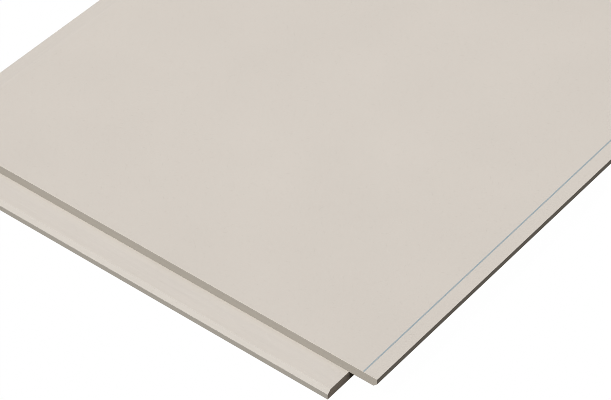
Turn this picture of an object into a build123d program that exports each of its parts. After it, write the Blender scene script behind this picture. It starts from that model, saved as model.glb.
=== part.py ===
# A dry-laid flooring element: one gypsum-fibre board, pressed in one piece and
# then milled all round to a stepped edge. Along one long and one short side the
# lower level stands out as a tongue that the neighbouring board lies on. Along
# the two opposite sides the upper level overhangs by the same amount, so that
# any board laps onto the next one with a flush face and a flush underside.
#
# Millimetres. +X runs across the board, +Y along it and +Z up. The origin is
# the middle of the underside of the whole outline, both tongues included.
import os

from build123d import *

# What one board covers once it is laid, and how thick it is
covering_length = 1200.0
covering_width = 600.0
thickness = 23.0

# The lap: how far each tongue stands out past the other level, and the height
# of the meeting face, where the lower tongue ends and the upper one begins
lap_width = 35.0
lap_height = 11.5

# The edge of each tongue's meeting face is milled off at a slant, so that glue
# or crumbs in the neighbour's inner corner can't hold the joint open. The run
# is measured in from the nose along the meeting face, the drop down the nose.
bevel_run = 4.5
bevel_drop = 4.5

# The whole outline, from the nose of one tongue to that of the opposite one
overall_length = covering_length + lap_width
overall_width = covering_width + lap_width


def stepped_section(covering):
    """The board's section across one of its two directions, as a closed outline.

    The lower tongue points to the negative side and the upper one to the
    positive side. The points run anticlockwise from the lower nose's foot.
    """
    nose = (covering + lap_width) / 2
    shoulder = (covering - lap_width) / 2
    return [
        (-nose, 0),
        (shoulder, 0),
        (shoulder, lap_height),
        (nose - bevel_run, lap_height),
        (nose, lap_height + bevel_drop),
        (nose, thickness),
        (-shoulder, thickness),
        (-shoulder, lap_height),
        (bevel_run - nose, lap_height),
        (-nose, lap_height - bevel_drop),
    ]


# The two milling passes: the first gives both long sides their profile, and
# the second cuts the same profile across the two ends. What both passes leave
# is the board, with the bevels mitred where two tongues meet at a corner.
with BuildPart() as screed_board:
    with BuildSketch(Plane.XZ):
        with BuildLine():
            Polyline(stepped_section(covering_width), close=True)
        make_face()
    extrude(amount=overall_length / 2, both=True)

    with BuildSketch(Plane.YZ):
        with BuildLine():
            Polyline(stepped_section(covering_length), close=True)
        make_face()
    extrude(amount=overall_width / 2, both=True, mode=Mode.INTERSECT)

screed_board.part.label = "screed_board"

os.makedirs("parts", exist_ok=True)
export_step(screed_board.part, "parts/screed_board.step")
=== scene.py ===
# %% [markdown]
# This lesson dresses one flooring board for its picture. The real thing is a gypsum-fibre board,
# pressed in one piece, with a step milled round its edges so that each board laps onto the next.
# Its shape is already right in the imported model, so Blender only breaks its arrises a little. It
# adds what the shape can't tell: the chalky sanded face, the combed look of the milled edges, the
# printed fixing line, and a calm studio to see them in.

# %% Load the board and measure it
import math
import bpy
import bmesh
from mathutils import Euler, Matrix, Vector, noise


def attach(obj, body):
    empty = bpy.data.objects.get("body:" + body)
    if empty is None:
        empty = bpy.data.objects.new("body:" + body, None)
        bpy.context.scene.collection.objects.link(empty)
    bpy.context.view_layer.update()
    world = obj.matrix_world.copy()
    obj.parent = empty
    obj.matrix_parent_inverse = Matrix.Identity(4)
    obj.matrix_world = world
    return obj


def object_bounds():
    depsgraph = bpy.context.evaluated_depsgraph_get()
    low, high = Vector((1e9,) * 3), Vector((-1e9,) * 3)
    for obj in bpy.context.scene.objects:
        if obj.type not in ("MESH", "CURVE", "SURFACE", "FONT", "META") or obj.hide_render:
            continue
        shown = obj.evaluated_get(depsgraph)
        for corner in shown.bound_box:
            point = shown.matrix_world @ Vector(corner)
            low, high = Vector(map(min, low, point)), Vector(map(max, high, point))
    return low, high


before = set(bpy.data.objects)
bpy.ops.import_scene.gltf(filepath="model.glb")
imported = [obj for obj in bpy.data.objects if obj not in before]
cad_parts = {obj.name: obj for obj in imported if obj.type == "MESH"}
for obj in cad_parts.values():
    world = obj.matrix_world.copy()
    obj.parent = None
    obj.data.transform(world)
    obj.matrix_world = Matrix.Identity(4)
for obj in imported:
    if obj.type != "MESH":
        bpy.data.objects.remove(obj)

MM = 0.001

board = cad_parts["screed_board"]
cad_low, cad_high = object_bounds()
print("board measures", [round(side / MM, 1) for side in cad_high - cad_low], "mm")

# %% [markdown]
# Every later step needs to know where the steps of the edge lie. They could be typed in again,
# but a typed number goes stale when the board changes. Reading them from the loaded mesh keeps
# them true: the corners of the mesh lie at only five heights, and each height has a meaning.

# %% Read the steps of the edge from the mesh
SAME_HEIGHT = 0.01 * MM
HEIGHT_DIGITS = 5

corners = [vertex.co.copy() for vertex in board.data.vertices]
heights = sorted({round(corner.z, HEIGHT_DIGITS) for corner in corners})
underside, nose_top, lap_height, upper_nose_foot, face_height = heights

face_corners = [corner for corner in corners if abs(corner.z - face_height) < SAME_HEIGHT]
face_xs = [corner.x for corner in face_corners]
face_ys = [corner.y for corner in face_corners]
face_low = Vector((min(face_xs), min(face_ys)))
face_high = Vector((max(face_xs), max(face_ys)))
lap_width = face_low.x - cad_low.x
print("lap is", round(lap_width / MM, 2), "mm wide and meets at", round(lap_height / MM, 2), "mm")
print("bevels end at", round(nose_top / MM, 2), "and", round(upper_nose_foot / MM, 2), "mm")

# %% [markdown]
# The picture was taken from the front corner, well above the board, with a long lens. A camera
# can be placed by eye, but here the board's own edges fix it: their slopes and spacings in the
# photograph leave one place for the lens. It is written as a photographer would say it, as a
# spot on the face that the lens aims at, how far off it stands, and how it is turned.

# %% Place the camera
AIM_X = 97.6 * MM
AIM_Y = -418.5 * MM
CAMERA_DISTANCE = 2.8202
CAMERA_AZIMUTH = math.radians(37.752)
CAMERA_ELEVATION = math.radians(42.527)
CAMERA_ROLL = math.radians(0.62)
LENS_MM = 155.0
SENSOR_MM = 36.0


def put_in_scene(name, data):
    """A new object in the scene, made of a camera, a lamp or a mesh."""
    thing = bpy.data.objects.new(name, data)
    bpy.context.scene.collection.objects.link(thing)
    return thing


def place_camera():
    """Aim the lens at a spot on the board's face, from the photograph's side and height."""
    level = math.cos(CAMERA_ELEVATION)
    towards_camera = Vector((
        math.sin(CAMERA_AZIMUTH) * level,
        -math.cos(CAMERA_AZIMUTH) * level,
        math.sin(CAMERA_ELEVATION),
    ))
    data = bpy.data.cameras.new("photo_camera")
    data.lens = LENS_MM
    data.sensor_width = SENSOR_MM
    data.sensor_fit = "HORIZONTAL"
    camera = put_in_scene("photo_camera", data)
    camera.location = Vector((AIM_X, AIM_Y, face_height)) + towards_camera * CAMERA_DISTANCE
    aimed = (-towards_camera).to_track_quat("-Z", "Y")
    camera.rotation_euler = (aimed.to_matrix() @ Euler((0, 0, CAMERA_ROLL)).to_matrix()).to_euler()
    bpy.context.scene.camera = camera
    return camera


camera = place_camera()
print("camera stands at", [round(value, 3) for value in camera.location])

# %% [markdown]
# All the finishes, and the studio too, are small trees of shader nodes. The same few moves come
# back in each: put a node in, wire or set its inputs, do a sum, mix two colours. Short helpers
# for those moves keep the trees readable, so that a line says what happens to the surface.

# %% Helpers for shader trees
def feed(tree, socket, value):
    """Wire an output into an input, or set the input where the value is a plain one."""
    if isinstance(value, bpy.types.NodeSocket):
        tree.links.new(value, socket)
    else:
        socket.default_value = value


def feed_named(tree, node, inputs):
    """Feed a node's inputs by their names, with _ for each space in a name."""
    for name, value in inputs.items():
        feed(tree, node.inputs[name.replace("_", " ")], value)


def add(tree, kind, **inputs):
    """Put a node in a tree and feed its named inputs."""
    node = tree.nodes.new("ShaderNode" + kind)
    feed_named(tree, node, inputs)
    return node


def add_sum(tree, kind, operation, values):
    """Put in a Math or Vector Math node and feed the inputs that its operation uses."""
    node = tree.nodes.new(kind)
    node.operation = operation
    for socket, value in zip([socket for socket in node.inputs if socket.enabled], values):
        feed(tree, socket, value)
    return next(socket for socket in node.outputs if socket.enabled)


def number(tree, operation, *values):
    """A sum on numbers, such as MULTIPLY or MAXIMUM."""
    return add_sum(tree, "ShaderNodeMath", operation, values)


def vector(tree, operation, *values):
    """A sum on vectors, such as SCALE or LENGTH."""
    return add_sum(tree, "ShaderNodeVectorMath", operation, values)


def split(tree, value):
    """The X, Y and Z of a vector, as three numbers."""
    return add(tree, "SeparateXYZ", Vector=value).outputs


def ramp(tree, value, start, end, low=0.0, high=1.0):
    """A number that goes softly from low to high while the value goes from start to end."""
    node = add(tree, "MapRange", Value=value, From_Min=start, From_Max=end, To_Min=low, To_Max=high)
    node.interpolation_type = "SMOOTHSTEP"
    return node.outputs["Result"]


def between(tree, share, low, high):
    """A number that goes softly from low to high while a share goes from 0 to 1."""
    return ramp(tree, share, 0.0, 1.0, low, high)


def mix_colours(tree, share, first, second):
    """The first colour at share 0, the second at share 1."""
    node = tree.nodes.new("ShaderNodeMix")
    node.data_type = "RGBA"
    used = [socket for socket in node.inputs if socket.enabled]
    for socket, value in zip(used, (share, first, second)):
        feed(tree, socket, value)
    return next(socket for socket in node.outputs if socket.enabled)


def new_tree(owner, output_kind="OutputMaterial"):
    """Empty the tree of a material or a world, and return it with its output node."""
    owner.use_nodes = True
    owner.node_tree.nodes.clear()
    return owner.node_tree, owner.node_tree.nodes.new("ShaderNode" + output_kind)


def end_by_ray(tree, output, seen, unseen):
    """End a tree with one shader for the camera and another for every other ray."""
    both = add(tree, "MixShader", Fac=add(tree, "LightPath").outputs["Is Camera Ray"])
    tree.links.new(unseen, both.inputs[1])
    tree.links.new(seen, both.inputs[2])
    tree.links.new(both.outputs["Shader"], output.inputs["Surface"])


print("shader helpers ready")

# %% [markdown]
# The photograph has a pure white ground with hardly any shadow, as on a light table. So the
# sheet under the board shines to the camera, and only a small share of its white is paint that
# can take a shadow. A shining sheet would also light the board from below and wash out its dark
# right-hand edges, so to any ray but the camera's the sheet is black.

# %% Lay the studio's paper
PAPER_SIZE = 14.0
PAPER_DROP = 0.2 * MM
PAPER_WHITE = (1.0, 1.0, 1.0, 1)
PAPER_DARK = (0, 0, 0, 1)
PAPER_SHADOW_SHARE = 0.008


def studio_paper():
    """White paper that shines to the camera, takes a faint shadow, and throws no light back."""
    material = bpy.data.materials.new("studio_paper")
    tree, output = new_tree(material)
    shine = add(tree, "Emission", Color=PAPER_WHITE)
    paint = add(tree, "BsdfDiffuse", Color=PAPER_WHITE)
    dark = add(tree, "BsdfDiffuse", Color=PAPER_DARK)
    seen = add(tree, "MixShader", Fac=PAPER_SHADOW_SHARE)
    tree.links.new(shine.outputs["Emission"], seen.inputs[1])
    tree.links.new(paint.outputs["BSDF"], seen.inputs[2])
    end_by_ray(tree, output, seen.outputs["Shader"], dark.outputs["BSDF"])
    material.cycles.emission_sampling = "NONE"
    return material


def lay_paper():
    """A flat square sheet just under the board."""
    mesh = bpy.data.meshes.new("studio_floor")
    sheet = bmesh.new()
    bmesh.ops.create_grid(sheet, x_segments=1, y_segments=1, size=PAPER_SIZE / 2)
    sheet.to_mesh(mesh)
    sheet.free()
    floor = put_in_scene("studio_floor", mesh)
    floor.location.z = underside - PAPER_DROP
    mesh.materials.append(studio_paper())
    return floor


floor = lay_paper()
print("paper lies at", round(floor.location.z / MM, 2), "mm")

# %% [markdown]
# The shades of the board's sides tell how it was lit. The step that faces the lower left has
# about six tenths of the face's light, the right-hand sides less than two tenths and a warmer
# tint, and the bevel a little more than the face. One lamp from the upper left and soft light
# from all round give just those three shades, if the soft light is warmer near the ground than
# overhead, as in a room with a pale ceiling. The face itself is palest in the middle of the
# picture and a little darker towards its right, so a small second lamp hangs over that middle.
# Their strengths are worked out so that lamps and soft light together put one unit of light in
# each colour on the face there, and paint keeps its own colour.
#
# The ledge stays as bright at the foot of its step as anywhere, though the step hides part of the
# sky from it. Light that the pale step throws back makes up for that, so one bounce is kept. Low
# air is dark, or the step would shade its ledge too much.

# %% Light the studio
LAMP_LEFTWARD = 0.39
LAMP_FORWARD = 0.487
LAMP_UPWARD = 0.70
LAMP_SPREAD = math.radians(12)
LAMP_ON_FACE = (0.596, 0.609, 0.588)
POOL_ON_FACE = 0.075
POOL_X = -84 * MM
POOL_Y = -301 * MM
POOL_HEIGHT = 1.0
POOL_LAMP_SIZE = 0.2
LOW_AIR = (1.169, 0.995, 0.649, 1)
HIGH_AIR = (0.004, 0.059, 0.238, 1)
NO_LIGHT = (0, 0, 0, 1)
DARK_UP_TO = 0.1
FULL_FROM = 0.4
PIXEL_SOFTNESS = 0.8


def hang_lamp():
    """A broad lamp, so far off that it lights the whole board alike."""
    direction = Vector((-LAMP_LEFTWARD, -LAMP_FORWARD, LAMP_UPWARD)).normalized()
    data = bpy.data.lights.new("broad_lamp", "SUN")
    data.angle = LAMP_SPREAD
    data.color = LAMP_ON_FACE
    data.energy = math.pi / direction.z
    lamp = put_in_scene("broad_lamp", data)
    lamp.rotation_euler = direction.to_track_quat("Z", "Y").to_euler()
    return lamp


def hang_pool_lamp():
    """A small lamp straight above the middle of the picture, fading softly away from there."""
    data = bpy.data.lights.new("pool_lamp", "AREA")
    data.shape = "DISK"
    data.size = POOL_LAMP_SIZE
    data.energy = POOL_ON_FACE * (math.pi * POOL_HEIGHT) ** 2
    lamp = put_in_scene("pool_lamp", data)
    lamp.location = (POOL_X, POOL_Y, face_height + POOL_HEIGHT)
    return lamp


def fill_air():
    """Soft light, warm near the ground and cool overhead, and plain white where it is seen."""
    world = bpy.data.worlds.new("studio_air")
    bpy.context.scene.world = world
    tree, output = new_tree(world, "OutputWorld")
    upward = split(tree, add(tree, "TexCoord").outputs["Generated"])["Z"]
    air = mix_colours(tree, upward, LOW_AIR, HIGH_AIR)
    lit = ramp(tree, upward, DARK_UP_TO, FULL_FROM)
    soft = add(tree, "Background", Color=mix_colours(tree, lit, NO_LIGHT, air))
    seen = add(tree, "Background", Color=PAPER_WHITE)
    end_by_ray(tree, output, seen.outputs["Background"], soft.outputs["Background"])


lamp = hang_lamp()
pool_lamp = hang_pool_lamp()
fill_air()
bpy.context.scene.cycles.diffuse_bounces = 1
bpy.context.scene.cycles.filter_width = PIXEL_SOFTNESS
bpy.context.scene.view_settings.view_transform = "Standard"
print("lamp strengths", round(lamp.data.energy, 3), "and", round(pool_lamp.data.energy, 3), "W")

# %% [markdown]
# The board's edges are straight cuts, but no real arris is razor sharp: gypsum crumbles a little
# under the cutter and in the hand. Inner corners keep the cutter's own sharp shape. A bevel
# painted into the shading would vanish at the outline, so the arrises are broken in real
# geometry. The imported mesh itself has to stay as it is, so modifiers do it on top: one joins the
# mesh's loose faces, a small node tree finds the edges that stick out, and a bevel rounds those.

# %% Break the arrises
ARRIS_RADIUS = 0.2 * MM
ARRIS_SEGMENTS = 3
JOIN_WITHIN = 0.01 * MM
SHARPEST_KEPT = math.radians(30)
EDGE_WEIGHT = "bevel_weight_edge"


def make_arris_finder():
    """A geometry tree that gives every edge that sticks out a bevel weight of 1."""
    tree = bpy.data.node_groups.new("find_arrises", "GeometryNodeTree")
    for way in ("INPUT", "OUTPUT"):
        tree.interface.new_socket(name="Geometry", in_out=way, socket_type="NodeSocketGeometry")
    given = tree.nodes.new("NodeGroupInput")
    wanted = tree.nodes.new("NodeGroupOutput")
    angle = tree.nodes.new("GeometryNodeInputMeshEdgeAngle").outputs["Signed Angle"]
    outer = add_sum(tree, "ShaderNodeMath", "GREATER_THAN", (angle, SHARPEST_KEPT))
    store = tree.nodes.new("GeometryNodeStoreNamedAttribute")
    store.data_type = "FLOAT"
    store.domain = "EDGE"
    store.inputs["Name"].default_value = EDGE_WEIGHT
    tree.links.new(given.outputs["Geometry"], store.inputs["Geometry"])
    tree.links.new(outer, store.inputs["Value"])
    tree.links.new(store.outputs["Geometry"], wanted.inputs["Geometry"])
    return tree


def break_arrises(piece):
    """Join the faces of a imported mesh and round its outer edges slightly, all by modifiers."""
    piece.modifiers.new("join_faces", "WELD").merge_threshold = JOIN_WITHIN
    piece.modifiers.new("find_arrises", "NODES").node_group = make_arris_finder()
    arris = piece.modifiers.new("broken_arris", "BEVEL")
    arris.width = ARRIS_RADIUS
    arris.segments = ARRIS_SEGMENTS
    arris.limit_method = "WEIGHT"


def count_faces(piece):
    """How many faces a piece has once its modifiers have run."""
    ready = piece.evaluated_get(bpy.context.evaluated_depsgraph_get())
    faces = len(ready.to_mesh().polygons)
    ready.to_mesh_clear()
    return faces


break_arrises(board)
print("board has", len(board.data.polygons), "faces as packed")
print("and", count_faces(board), "with its arrises broken")

# %% [markdown]
# Two more helpers: one makes an empty node group with named sockets, the other puts a group in a
# tree. A group is an effect built once that several finishes can use, each with its own values.

# %% Helpers for node groups
def new_group(name, inputs, outputs):
    """An empty group with named sockets: its tree, the values given to it and those wanted."""
    group = bpy.data.node_groups.new(name, "ShaderNodeTree")
    for way, sockets in (("INPUT", inputs), ("OUTPUT", outputs)):
        for socket_name, kind in sockets.items():
            group.interface.new_socket(name=socket_name, in_out=way, socket_type="NodeSocket" + kind)
    given = group.nodes.new("NodeGroupInput").outputs
    wanted = group.nodes.new("NodeGroupOutput").inputs
    return group, given, wanted


def use(tree, group, **inputs):
    """Put a group in a tree, feed its named inputs and return its outputs."""
    node = tree.nodes.new("ShaderNodeGroup")
    node.node_tree = group
    feed_named(tree, node, inputs)
    return node.outputs


print("group helpers ready")

# %% [markdown]
# Seen close, the board is pale plaster with shreds of recycled paper pressed flat into it. A
# picture of shreds could be laid over it, but it would stretch round the edges and repeat. Here
# the shreds fill space itself. A Voronoi texture cuts space into cells, each cell holds one thin
# shred turned its own way, and the surface shows whichever shreds it happens to cut. So the
# milled edges show the same board as the face does, and the ink can show it through.

# %% Make the group of paper shreds
FLATNESS = 6.0
HALF_CELL = 0.5
SHORTEST_SHARE = 0.5
CORE_SHARE = 0.5
WHOLE_TURN = 2 * math.pi


def make_paper_shreds():
    """A group that says where the surface cuts a shred of paper, and how pale that shred is."""
    group, given, wanted = new_group(
        "paper_shreds",
        {"Place": "Vector", "Spacing": "Float", "Length": "Float", "Width": "Float"},
        {"Shred": "Float", "Paleness": "Float"},
    )
    flattened = vector(group, "MULTIPLY", given["Place"], (1.0, 1.0, FLATNESS))
    in_cells = vector(group, "SCALE", flattened, number(group, "DIVIDE", 1.0, given["Spacing"]))
    cell = add(group, "TexVoronoi", Vector=in_cells, Scale=1.0)
    chance = add(group, "SeparateColor", Color=cell.outputs["Color"]).outputs

    turned = add(
        group, "VectorRotate",
        Vector=vector(group, "SUBTRACT", in_cells, cell.outputs["Position"]),
        Angle=number(group, "MULTIPLY", chance["Red"], WHOLE_TURN),
    )
    length_share = number(group, "ADD", chance["Green"], SHORTEST_SHARE)
    some_length = number(group, "MULTIPLY", given["Length"], length_share)
    two_cells = number(group, "MULTIPLY", given["Spacing"], 2.0)
    half_sizes = add(
        group, "CombineXYZ",
        X=number(group, "DIVIDE", some_length, two_cells),
        Y=number(group, "DIVIDE", given["Width"], two_cells),
        Z=HALF_CELL,
    ).outputs["Vector"]
    off_middle = vector(group, "DIVIDE", turned.outputs["Vector"], half_sizes)
    feed(group, wanted["Shred"], ramp(group, vector(group, "LENGTH", off_middle), 1.0, CORE_SHARE))
    feed(group, wanted["Paleness"], chance["Blue"])
    return group


paper_shreds = make_paper_shreds()
print("paper_shreds gives", [socket.name for socket in paper_shreds.interface.items_tree])

# %% [markdown]
# Plaster is never one tone. It has clouds a hand wide, where the mix dried a little faster, and a
# grain as fine as sand from the sanding belt. Both are the same kind of noise at two sizes, so
# one group makes both and multiplies them into whatever colour it is given. It also hands on the
# grain by itself, for the bump and the roughness.

# %% Make the group of chalky tone
NOISE_MIDDLE = 0.5
CLOUD_DETAIL = 2.0
GRAIN_DETAIL = 3.0


def swing(tree, wave, depth):
    """Turn noise between 0 and 1 into a number that swings about 0 by a depth."""
    centred = number(tree, "SUBTRACT", wave, NOISE_MIDDLE)
    return number(tree, "MULTIPLY", centred, number(tree, "DIVIDE", depth, NOISE_MIDDLE))


def noise_at(tree, place, size, detail):
    """Noise whose lumps have about a given size, in the unit of the place."""
    scaled = vector(tree, "SCALE", place, number(tree, "DIVIDE", 1.0, size))
    return add(tree, "TexNoise", Vector=scaled, Scale=1.0, Detail=detail).outputs["Fac"]


def make_chalky_tone():
    """A group that gives a colour its clouds and its grain."""
    group, given, wanted = new_group(
        "chalky_tone",
        {"Colour": "Color", "Place": "Vector", "Cloud Size": "Float", "Cloud Depth": "Float",
         "Grain Size": "Float", "Grain Depth": "Float"},
        {"Colour": "Color", "Grain": "Float"},
    )
    clouds = noise_at(group, given["Place"], given["Cloud Size"], CLOUD_DETAIL)
    grain = noise_at(group, given["Place"], given["Grain Size"], GRAIN_DETAIL)
    both = number(
        group, "ADD",
        swing(group, clouds, given["Cloud Depth"]),
        swing(group, grain, given["Grain Depth"]),
    )
    shade = number(group, "ADD", both, 1.0)
    feed(group, wanted["Colour"], vector(group, "SCALE", given["Colour"], shade))
    feed(group, wanted["Grain"], grain)
    return group


chalky_tone = make_chalky_tone()
print("chalky_tone gives", [socket.name for socket in chalky_tone.interface.items_tree])

# %% [markdown]
# A cutter leaves fine lines along the way it travels, from the nicks in its blades. They run
# along each side of the board, so they run one way on the short sides and the other way on the
# long ones. Noise that is stretched far along the cut and kept narrow across it looks like that.
# The group is told which way to run, so it serves all four sides.

# %% Make the group of cutter marks
def make_cutter_marks():
    """A group of fine lines that run along X, or along Y where Lengthwise is 1."""
    group, given, wanted = new_group(
        "cutter_marks",
        {"Place": "Vector", "Lengthwise": "Float", "Mark Length": "Float", "Mark Width": "Float"},
        {"Mark": "Float"},
    )
    along = number(group, "DIVIDE", 1.0, given["Mark Length"])
    across = number(group, "DIVIDE", 1.0, given["Mark Width"])
    crosswise = add(group, "CombineXYZ", X=along, Y=across, Z=across).outputs["Vector"]
    lengthwise = add(group, "CombineXYZ", X=across, Y=along, Z=across).outputs["Vector"]
    stretch = mix_colours(group, given["Lengthwise"], crosswise, lengthwise)
    stretched = vector(group, "MULTIPLY", given["Place"], stretch)
    drawn = add(group, "TexNoise", Vector=stretched, Scale=1.0)
    feed(group, wanted["Mark"], drawn.outputs["Fac"])
    return group


cutter_marks = make_cutter_marks()
print("cutter_marks gives", [socket.name for socket in cutter_marks.interface.items_tree])

# %% [markdown]
# Now the board's own colour: chalky plaster with two sizes of shred laid in, of which about a
# quarter are dark and the rest pale. How strongly they show is left open, because milling lays
# more of them bare than the press does. The mixing is kept apart from the rest of the finish, so
# that the ink can ask for the same colour at the same place later on.

# %% Mix the board's colour
BOARD_COLOUR = (0.673, 0.619, 0.5605, 1)
PAPER_SHRED_DARK = (0.36, 0.31, 0.26, 1)
PAPER_SHRED_PALE = (0.80, 0.76, 0.71, 1)
PALE_SHREDS_FROM = 0.24
PALE_SHREDS_FULL = 0.34
LONG_SHRED = {"Spacing": 6.0, "Length": 5.0, "Width": 0.42}
SHORT_SHRED = {"Spacing": 2.0, "Length": 1.7, "Width": 0.26}
LONG_SHRED_DEPTH = 0.32
SHORT_SHRED_DEPTH = 0.25
FACE_TONE = {"Cloud_Size": 110.0, "Cloud_Depth": 0.03, "Grain_Size": 0.9, "Grain_Depth": 0.05}


def place_in_mm(tree):
    """Where a point of the surface is, in the frame's millimetres."""
    return vector(tree, "SCALE", add(tree, "TexCoord").outputs["Object"], 1 / MM)


def shreds(tree, place, sizes, depth, colour):
    """Lay one size of shred into a colour, and return the colour and where the shreds are."""
    cut = use(tree, paper_shreds, Place=place, **sizes)
    pale = ramp(tree, cut["Paleness"], PALE_SHREDS_FROM, PALE_SHREDS_FULL)
    paper = mix_colours(tree, pale, PAPER_SHRED_DARK, PAPER_SHRED_PALE)
    share = number(tree, "MULTIPLY", cut["Shred"], depth)
    return mix_colours(tree, share, colour, paper), cut["Shred"]


def fibre_colour(tree, place, depth):
    """The colour of plaster with its shreds, how grainy it is, and where the shreds are."""
    tone = use(tree, chalky_tone, Colour=BOARD_COLOUR, Place=place, **FACE_TONE)
    long_depth = number(tree, "MULTIPLY", depth, LONG_SHRED_DEPTH)
    short_depth = number(tree, "MULTIPLY", depth, SHORT_SHRED_DEPTH)
    colour, long_shreds = shreds(tree, place, LONG_SHRED, long_depth, tone["Colour"])
    colour, short_shreds = shreds(tree, place, SHORT_SHRED, short_depth, colour)
    return colour, tone["Grain"], number(tree, "MAXIMUM", long_shreds, short_shreds)


print("shreds lie about", LONG_SHRED["Spacing"], "and", SHORT_SHRED["Spacing"], "mm apart")

# %% [markdown]
# A finish that changes from part to part needs to know which part it is on. Nothing is painted
# by hand for that: the place of a point and the way it faces tell enough. The face and the
# underside are as the press and the sanding belt left them, and everything between those two
# heights was milled. The outermost sides were sawn, and some of the lower level's sides lie
# under a lap.
#
# Arrises and inner corners take another kind of node, Ambient Occlusion. Short rays sent out of
# the surface soon meet another face where an inner corner is near, and rays sent into the board
# do the same where an arris is near.

# %% Tell the parts of the surface apart
SKIN_DEPTH = 0.3
LYING_FROM = 0.8
LYING_FULL = 0.95
UPWARD_FROM = 0.3
UPWARD_FULL = 0.5
SIDEWAYS_FROM = 0.5
UNDER_LAP_RISE = 2.0
EDGE_SAMPLES = 4
EDGE_FULL = 0.5


def without_signs(tree, value):
    """The X, Y and Z of a vector, each without its sign."""
    return split(tree, vector(tree, "ABSOLUTE", value))


def milled_share(tree, height):
    """1 between the board's two skins, where it was milled, and 0 on the skins."""
    above = ramp(tree, height, underside / MM + SKIN_DEPTH / 2, underside / MM + SKIN_DEPTH)
    below = ramp(tree, height, face_height / MM - SKIN_DEPTH / 2, face_height / MM - SKIN_DEPTH)
    return number(tree, "MULTIPLY", above, below)


def cut_along_length(tree, place, turned_to):
    """1 where the cutter ran along the board, on its long sides, and 0 where it ran across."""
    off_middle = without_signs(tree, place)["X"]
    past_face = number(tree, "GREATER_THAN", off_middle, -face_low.x / MM - SKIN_DEPTH)
    lying = number(tree, "GREATER_THAN", turned_to["Z"], LYING_FROM)
    facing_sideways = number(tree, "GREATER_THAN", turned_to["X"], SIDEWAYS_FROM)
    return number(tree, "MAXIMUM", number(tree, "MULTIPLY", past_face, lying), facing_sideways)


def sawn_share(tree, place):
    """1 on the outermost faces, which a saw cut, and 0 on the milled steps behind them."""
    outward = without_signs(tree, place)
    past_x = number(tree, "GREATER_THAN", outward["X"], cad_high.x / MM - SKIN_DEPTH / 2)
    past_y = number(tree, "GREATER_THAN", outward["Y"], cad_high.y / MM - SKIN_DEPTH / 2)
    return number(tree, "MAXIMUM", past_x, past_y)


def past_step(tree, place):
    """How far out a point lies from the foot of the nearer step, in millimetres."""
    where = split(tree, place)
    past_x = number(tree, "SUBTRACT", face_low.x / MM, where["X"])
    past_y = number(tree, "SUBTRACT", face_low.y / MM, where["Y"])
    return number(tree, "MAXIMUM", past_x, past_y)


def under_lap(tree, place, flat_lying):
    """1 on the lower level's sides under a lap, falling softly to 0 at the lap's ends."""
    where = split(tree, place)
    covered = number(tree, "LESS_THAN", where["Z"], lap_height / MM)
    for axis, lap_end in (("X", face_low.x / MM), ("Y", face_low.y / MM)):
        past_end = ramp(tree, where[axis], lap_end, lap_end + UNDER_LAP_RISE)
        covered = number(tree, "MULTIPLY", covered, past_end)
    return number(tree, "MULTIPLY", covered, number(tree, "SUBTRACT", 1.0, flat_lying))


def near_edge(tree, reach, inside=False):
    """1 beside an inner corner, or beside an arris with rays sent inside, and 0 past a reach."""
    rays = add(tree, "AmbientOcclusion", Distance=reach)
    rays.inside = inside
    rays.only_local = True
    rays.samples = EDGE_SAMPLES
    return ramp(tree, rays.outputs["AO"], 1.0, EDGE_FULL)


print("milled between", SKIN_DEPTH, "and", round(face_height / MM - SKIN_DEPTH, 2), "mm")

# %% [markdown]
# With those shares at hand, the finish is a list of small changes. The milled parts show more paper,
# fine lines from the nicks in the cutter and broad ones from its passes. The outermost sides are a
# shade darker, the bevels get painted light, a shade paler and cooler, and the steep milled sides a
# touch of painted shade. Arrises are rubbed pale, and inner corners get a little painted shade.
#
# Three more things belong to the photograph and not to the board. There the ledges are as bright
# at the foot of a step as anywhere, though the steps stay evenly dark. So a bounced ray finds
# the board's steep sides pale and its flat-lying faces black: a step lights its ledge, and the
# ledge doesn't light the step. The ledges also get a little darker towards their noses, and on
# the long sides the ledge and the sawn edge are both a shade darker. And the gap under a lap is
# nearly black, so the sides down there are shaded by where they lie.

# %% Finish the board
MILLED_SHRED_DEPTH = 1.6
FINE_MARKS = {"Mark_Length": 55.0, "Mark_Width": 0.55}
BROAD_MARKS = {"Mark_Length": 240.0, "Mark_Width": 2.6}
FINE_MARK_DEPTH = 0.06
BROAD_MARK_DEPTH = 0.035
# Painted light on the ledges: brightest at the foot of the step, less towards the nose.
LEDGE_FOOT_PAINTED_LIGHT = 1.032
LEDGE_NOSE_PAINTED_LIGHT = 1.005
# Painted shade on the long sides' ledges.
LONG_LEDGE_PAINTED_SHADE = 0.982
# Painted shade in inner corners.
CORNER_SHADE_REACH = 2.0 * MM
CORNER_PAINTED_SHADE = 0.94
UNDER_LAP_SHADE = 0.35
# Painted shade, a touch darker, on the steep milled sides.
STEEP_PAINTED_SHADE = (0.995, 0.989, 0.987)
# The outermost sides, drawn a shade darker.
OUTERMOST_DARKER_TONE = (0.92, 0.938, 0.955)
# Painted shade, darker and less red, on the long outermost sides.
LONG_OUTER_PAINTED_SHADE = (0.94, 0.975, 0.99)
# Painted light, paler and cooler, on the bevels.
BEVEL_PAINTED_LIGHT = (1.022, 1.03, 1.05)
RUBBED_COLOUR = (0.76, 0.71, 0.65, 1)
RUB_REACH = 1.0 * MM
RUB_DEPTH = 0.15
FACE_ROUGHNESS = 0.86
GRAIN_ROUGHNESS = 0.12
FACE_GLOSS = 0.15
SHRED_RELIEF = 0.5
BUMP_HEIGHT = 0.02 * MM


def shade_parts(tree, shade, shares_and_shades):
    """A shade multiplied by others, each as far as a place has a share in it."""
    for share, full_shade in shares_and_shades:
        shade = number(tree, "MULTIPLY", shade, between(tree, share, 1.0, full_shade))
    return shade


def tone_parts(tree, colour, shares_and_tones):
    """A colour multiplied by tones, each as far as a place has a share in it."""
    for share, tone in shares_and_tones:
        colour = mix_colours(tree, share, colour, vector(tree, "MULTIPLY", colour, tone))
    return colour


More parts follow.
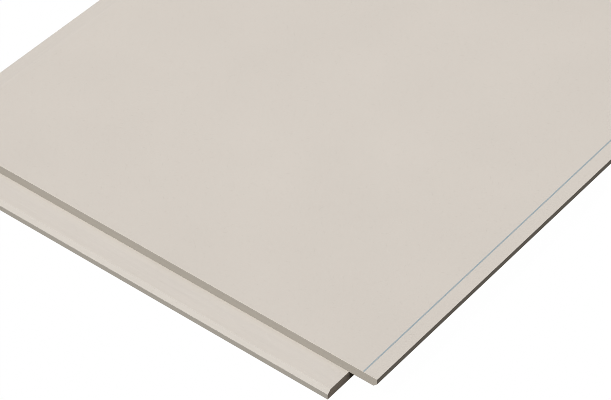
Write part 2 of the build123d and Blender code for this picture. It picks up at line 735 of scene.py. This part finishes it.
def end_in_skin(tree, output, colour, roughness, gloss, relief, bump_height):
    """End a finish with a skin of a colour, a roughness, a gloss and a fine relief."""
    bump = add(tree, "Bump", Height=relief, Distance=bump_height)
    skin = add(
        tree, "BsdfPrincipled",
        Base_Color=colour, Roughness=roughness,
        Specular_IOR_Level=gloss, Normal=bump.outputs["Normal"],
    )
    tree.links.new(skin.outputs["BSDF"], output.inputs["Surface"])


def finish_board():
    """The gypsum-fibre finish: plaster and paper, milled edges and rubbed arrises, with painted
    light and shade.
    """
    material = bpy.data.materials.new("gypsum_fibre_finish")
    tree, output = new_tree(material)
    place = place_in_mm(tree)
    turned_to = without_signs(tree, add(tree, "TexCoord").outputs["Normal"])

    milled = milled_share(tree, split(tree, place)["Z"])
    lengthwise = cut_along_length(tree, place, turned_to)
    sawn = sawn_share(tree, place)
    flat_lying = ramp(tree, turned_to["Z"], LYING_FROM, LYING_FULL)
    upward = ramp(tree, turned_to["Z"], UPWARD_FROM, UPWARD_FULL)
    milled_upwards = number(tree, "MULTIPLY", milled, upward)
    ledge = number(tree, "MULTIPLY", milled, flat_lying)

    shred_depth = between(tree, milled, 1.0, MILLED_SHRED_DEPTH)
    colour, grain, shred = fibre_colour(tree, place, shred_depth)
    fine_mark = use(tree, cutter_marks, Place=place, Lengthwise=lengthwise, **FINE_MARKS)["Mark"]
    broad_mark = use(tree, cutter_marks, Place=place, Lengthwise=lengthwise, **BROAD_MARKS)["Mark"]
    marks = number(
        tree, "ADD",
        swing(tree, fine_mark, FINE_MARK_DEPTH),
        swing(tree, broad_mark, BROAD_MARK_DEPTH),
    )
    shade = number(tree, "ADD", number(tree, "MULTIPLY", marks, milled), 1.0)

    # Painted light on the ledges, fading from the foot of the step towards the nose.
    far_out = past_step(tree, place)
    painted_ledge_light = ramp(tree, far_out, 0.0, lap_width / MM, LEDGE_FOOT_PAINTED_LIGHT, LEDGE_NOSE_PAINTED_LIGHT)
    shade = shade_parts(tree, shade, (
        (ledge, painted_ledge_light),
        # painted shade on the long sides' ledges
        (number(tree, "MULTIPLY", milled_upwards, lengthwise), LONG_LEDGE_PAINTED_SHADE),
        # painted shade in inner corners
        (near_edge(tree, CORNER_SHADE_REACH), CORNER_PAINTED_SHADE),
        (under_lap(tree, place, flat_lying), UNDER_LAP_SHADE),
    ))
    colour = tone_parts(tree, vector(tree, "SCALE", colour, shade), (
        # painted shade on the steep milled sides
        (number(tree, "SUBTRACT", milled, milled_upwards), STEEP_PAINTED_SHADE),
        # the outermost sides a shade darker
        (sawn, OUTERMOST_DARKER_TONE),
        # painted shade on the long outermost sides
        (number(tree, "MULTIPLY", sawn, lengthwise), LONG_OUTER_PAINTED_SHADE),
        # painted light on the bevels
        (number(tree, "SUBTRACT", milled_upwards, ledge), BEVEL_PAINTED_LIGHT),
    ))
    rubbed = number(tree, "MULTIPLY", near_edge(tree, RUB_REACH, inside=True), RUB_DEPTH)
    colour = mix_colours(tree, rubbed, colour, RUBBED_COLOUR)

    bounced = add(tree, "LightPath").outputs["Is Diffuse Ray"]
    colour = mix_colours(tree, number(tree, "MULTIPLY", bounced, flat_lying), colour, NO_LIGHT)

    relief = number(tree, "ADD", grain, number(tree, "MULTIPLY", fine_mark, milled))
    relief = number(tree, "ADD", relief, number(tree, "MULTIPLY", shred, SHRED_RELIEF))
    roughness = number(tree, "ADD", FACE_ROUGHNESS, swing(tree, grain, GRAIN_ROUGHNESS))
    end_in_skin(tree, output, colour, roughness, FACE_GLOSS, relief, BUMP_HEIGHT)
    return material


board.material_slots[0].material = finish_board()
print("board finished with", board.material_slots[0].material.name)

# %% [markdown]
# A fine blue line runs along the middle of the upper tongue and shows where the fixings go. It is
# printed, so it has hardly any body, and it could be painted into the board's finish. Here it is
# a piece of its own: a film of ink a few hundredths of a millimetre thick, because then it can be
# chosen, moved or left off. A roller doesn't print a ruler's edge, so its width wanders a little
# from one station to the next, and its ends stop just short of the broken arrises.

# %% Print the fixing line
LINE_WIDTH = 1.8 * MM
LINE_WANDER = 0.12
LINE_THICKNESS = 0.04 * MM
LINE_SUNK = 0.02 * MM
LINE_END_GAP = 0.5 * MM
STATION_GAP = 2.5 * MM
WANDER_EVERY = 4.0 * MM
LEFT_RIM_NOISE = 11.0
RIGHT_RIM_NOISE = 47.0

line_middle = face_high.x - lap_width / 2


def half_width(along, rim_noise):
    """How far the line reaches from its middle at a place along it, on one of its rims."""
    wander = noise.noise(Vector((along / WANDER_EVERY, rim_noise, 0.0)))
    return LINE_WIDTH / 2 * (1.0 + LINE_WANDER * wander)


def print_line():
    """A closed film of ink along the upper tongue, in stations that differ a little in width."""
    start = face_low.y + LINE_END_GAP
    end = face_high.y - LINE_END_GAP
    stations = round((end - start) / STATION_GAP)
    top = face_height + LINE_THICKNESS
    bottom = face_height - LINE_SUNK
    film = bmesh.new()
    rings = []
    for station in range(stations + 1):
        along = start + (end - start) * station / stations
        left = line_middle - half_width(along, LEFT_RIM_NOISE)
        right = line_middle + half_width(along, RIGHT_RIM_NOISE)
        ring = [(left, bottom), (right, bottom), (right, top), (left, top)]
        rings.append([film.verts.new((across, along, height)) for across, height in ring])
    for near, far in zip(rings, rings[1:]):
        for side in range(len(near)):
            after = (side + 1) % len(near)
            film.faces.new((near[side], near[after], far[after], far[side]))
    film.faces.new(reversed(rings[0]))
    film.faces.new(rings[-1])
    bmesh.ops.recalc_face_normals(film, faces=film.faces)
    mesh = bpy.data.meshes.new("printed_line")
    film.to_mesh(mesh)
    film.free()
    return put_in_scene("printed_line", mesh)


printed_line = print_line()
line_length = round(printed_line.dimensions.y / MM, 1)
print("printed line has", len(printed_line.data.polygons), "faces along", line_length, "mm")

# %% [markdown]
# The ink is thin and soaks into chalky plaster unevenly. It covers best along its middle, streaks
# the way the board ran under the roller, misses some grains, and slides off the hard shreds of
# paper. So its finish is the board's own colour, worked out at the same place, with ink laid over
# it by a share that each of those changes.

# %% Finish the ink
INK_COLOUR = (0.072, 0.237, 0.341, 1)
INK_COVER = 0.53
RIM_COVER = INK_COVER / 2
RIM_FADE = 0.25
INK_STREAKS = {"Mark_Length": 9.0, "Mark_Width": 0.35}
STREAK_DEPTH = 0.2
MISSED_GRAIN = 0.25
MISSED_SHRED = 0.4
INK_ROUGHNESS = 0.62
INK_GLOSS = 0.3
INK_BUMP = 0.01 * MM


def finish_ink():
    """Thin blue ink over the board's own plaster and paper."""
    material = bpy.data.materials.new("line_ink")
    tree, output = new_tree(material)
    place = place_in_mm(tree)
    plaster, grain, shred = fibre_colour(tree, place, 1.0)
    across = number(tree, "SUBTRACT", split(tree, place)["X"], line_middle / MM)
    off_middle = number(tree, "DIVIDE", number(tree, "ABSOLUTE", across), LINE_WIDTH / MM / 2)
    inked = ramp(tree, off_middle, 1.0, 1.0 - RIM_FADE, RIM_COVER, INK_COVER)
    streak = use(tree, cutter_marks, Place=place, Lengthwise=1.0, **INK_STREAKS)["Mark"]
    inked = number(tree, "ADD", inked, swing(tree, streak, STREAK_DEPTH))
    inked = number(tree, "ADD", inked, swing(tree, grain, MISSED_GRAIN))
    inked = number(tree, "MULTIPLY", inked, between(tree, shred, 1.0, 1.0 - MISSED_SHRED))
    colour = mix_colours(tree, inked, plaster, INK_COLOUR)
    roughness = between(tree, inked, FACE_ROUGHNESS, INK_ROUGHNESS)
    end_in_skin(tree, output, colour, roughness, INK_GLOSS, grain, INK_BUMP)
    return material


printed_line.data.materials.append(finish_ink())
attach(printed_line, "root")
print("line finished with", printed_line.material_slots[0].material.name)
